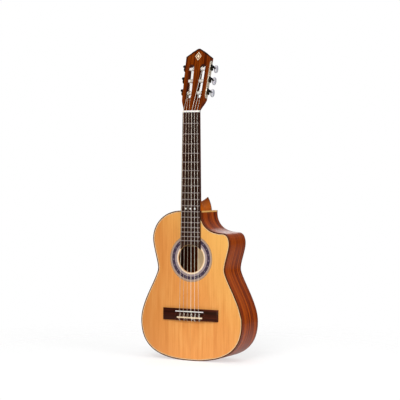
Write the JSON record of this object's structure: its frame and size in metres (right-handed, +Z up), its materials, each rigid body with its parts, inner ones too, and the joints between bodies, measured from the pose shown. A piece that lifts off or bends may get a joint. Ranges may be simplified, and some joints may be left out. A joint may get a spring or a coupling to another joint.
{
  "type": "classical guitar",
  "caption": "Small-bodied classical guitar with a rounded treble cutaway, slotted head with worm-gear tuning machines, tie bridge and nylon strings.",
  "frame": {"origin": "on the lowest level of the body, on the centre line of the neck, half way through the guitar's whole depth", "axes": "+Z up along the neck towards the head, +X towards the treble strings, +Y from the soundboard to the back, so the strings face -Y"},
  "size_m": [0.312, 0.115, 0.8607],
  "materials": {
    "cedar_top": "thin gloss lacquer over cedar",
    "spruce_inside": "bare planed spruce",
    "mahogany_body": "gloss lacquer over striped mahogany",
    "mahogany_neck": "satin to gloss lacquer over mahogany",
    "rosewood": "oiled dark rosewood",
    "binding_wood": "lacquered dark brown wood binding",
    "maple_trim": "lacquered light maple",
    "rosette_inlay": "lacquered wood mosaic",
    "bone_white": "polished bone-white plastic",
    "pearl_button": "grey-white pearl plastic",
    "fret_metal": "polished nickel silver",
    "plate_metal": "nickel-plated steel",
    "gear_metal": "darkened brass",
    "worm_metal": "blackened steel",
    "nylon_string": "clear nylon",
    "wound_string": "silver-plated winding over nylon floss"
  },
  "bodies": {
    "guitar_body": {"soundboard": "cedar_top", "rosette": "rosette_inlay", "soundhole_patch": "spruce_inside", "harmonic_bars": "spruce_inside", "fan_braces": "spruce_inside", "bridge_plate": "spruce_inside", "bridge": "rosewood", "saddle": "bone_white", "tie_block_inlay": "bone_white", "rib_bass": "mahogany_body", "rib_treble": "mahogany_body", "end_graft": "binding_wood", "cutaway_end_strip": "maple_trim", "back_plate": "mahogany_body", "back_braces": "spruce_inside", "back_centre_strip": "spruce_inside", "top_binding": "binding_wood", "top_purfling": "maple_trim", "back_binding": "binding_wood", "top_lining": "spruce_inside", "back_lining": "spruce_inside", "neck_block": "mahogany_neck", "tail_block": "mahogany_neck", "neck": "mahogany_neck", "heel_cap": "rosewood", "headplate": "mahogany_neck", "headstock_inlay": "maple_trim", "fingerboard": "rosewood", "frets": "fret_metal", "fingerboard_dots": "bone_white", "nut": "bone_white", "treble_strings": "nylon_string", "bass_strings": "wound_string", "tuner_plate_treble": "plate_metal", "tuner_plate_bass": "plate_metal", "tuner_screws": "plate_metal"},
    "button_shaft_1": {"worm_1": "worm_metal", "button_1": "pearl_button"},
    "string_post_1": {"roller_1": "bone_white", "gear_1": "gear_metal"},
    "button_shaft_2": {"worm_2": "worm_metal", "button_2": "pearl_button"},
    "string_post_2": {"roller_2": "bone_white", "gear_2": "gear_metal"},
    "button_shaft_3": {"worm_3": "worm_metal", "button_3": "pearl_button"},
    "string_post_3": {"roller_3": "bone_white", "gear_3": "gear_metal"},
    "button_shaft_4": {"worm_4": "worm_metal", "button_4": "pearl_button"},
    "string_post_4": {"roller_4": "bone_white", "gear_4": "gear_metal"},
    "button_shaft_5": {"worm_5": "worm_metal", "button_5": "pearl_button"},
    "string_post_5": {"roller_5": "bone_white", "gear_5": "gear_metal"},
    "button_shaft_6": {"worm_6": "worm_metal", "button_6": "pearl_button"},
    "string_post_6": {"roller_6": "bone_white", "gear_6": "gear_metal"}
  },
  "joints": [
    {"name": "button_turn_1", "type": "hinge", "parent": "guitar_body", "child": "button_shaft_1", "pos_m": [0.04037, -0.02166, 0.74239], "axis": [0, 0.9659, -0.2588], "continuous": true},
    {"name": "post_turn_1", "type": "hinge", "parent": "guitar_body", "child": "string_post_1", "pos_m": [0.01957, -0.02344, 0.73576], "axis": [0.9996, -0.0073, -0.0273], "continuous": true},
    {"name": "button_turn_2", "type": "hinge", "parent": "guitar_body", "child": "button_shaft_2", "pos_m": [0.04136, -0.0126, 0.77619], "axis": [0, 0.9659, -0.2588], "continuous": true},
    {"name": "post_turn_2", "type": "hinge", "parent": "guitar_body", "child": "string_post_2", "pos_m": [0.02056, -0.01438, 0.76955], "axis": [0.9996, -0.0073, -0.0273], "continuous": true},
    {"name": "button_turn_3", "type": "hinge", "parent": "guitar_body", "child": "button_shaft_3", "pos_m": [0.04235, -0.00355, 0.80998], "axis": [0, 0.9659, -0.2588], "continuous": true},
    {"name": "post_turn_3", "type": "hinge", "parent": "guitar_body", "child": "string_post_3", "pos_m": [0.02155, -0.00533, 0.80335], "axis": [0.9996, -0.0073, -0.0273], "continuous": true},
    {"name": "button_turn_4", "type": "hinge", "parent": "guitar_body", "child": "button_shaft_4", "pos_m": [-0.04235, -0.00355, 0.80998], "axis": [0, 0.9659, -0.2588], "continuous": true},
    {"name": "post_turn_4", "type": "hinge", "parent": "guitar_body", "child": "string_post_4", "pos_m": [-0.02155, -0.00533, 0.80335], "axis": [-0.9996, -0.0073, -0.0273], "continuous": true},
    {"name": "button_turn_5", "type": "hinge", "parent": "guitar_body", "child": "button_shaft_5", "pos_m": [-0.04136, -0.0126, 0.77619], "axis": [0, 0.9659, -0.2588], "continuous": true},
    {"name": "post_turn_5", "type": "hinge", "parent": "guitar_body", "child": "string_post_5", "pos_m": [-0.02056, -0.01438, 0.76955], "axis": [-0.9996, -0.0073, -0.0273], "continuous": true},
    {"name": "button_turn_6", "type": "hinge", "parent": "guitar_body", "child": "button_shaft_6", "pos_m": [-0.04037, -0.02166, 0.74239], "axis": [0, 0.9659, -0.2588], "continuous": true},
    {"name": "post_turn_6", "type": "hinge", "parent": "guitar_body", "child": "string_post_6", "pos_m": [-0.01957, -0.02344, 0.73576], "axis": [-0.9996, -0.0073, -0.0273], "continuous": true}
  ],
  "couplings": [
    {"joint": "post_turn_1", "follows": "button_turn_1", "ratio": 0.071429},
    {"joint": "post_turn_2", "follows": "button_turn_2", "ratio": 0.071429},
    {"joint": "post_turn_3", "follows": "button_turn_3", "ratio": 0.071429},
    {"joint": "post_turn_4", "follows": "button_turn_4", "ratio": 0.071429},
    {"joint": "post_turn_5", "follows": "button_turn_5", "ratio": 0.071429},
    {"joint": "post_turn_6", "follows": "button_turn_6", "ratio": 0.071429}
  ]
}
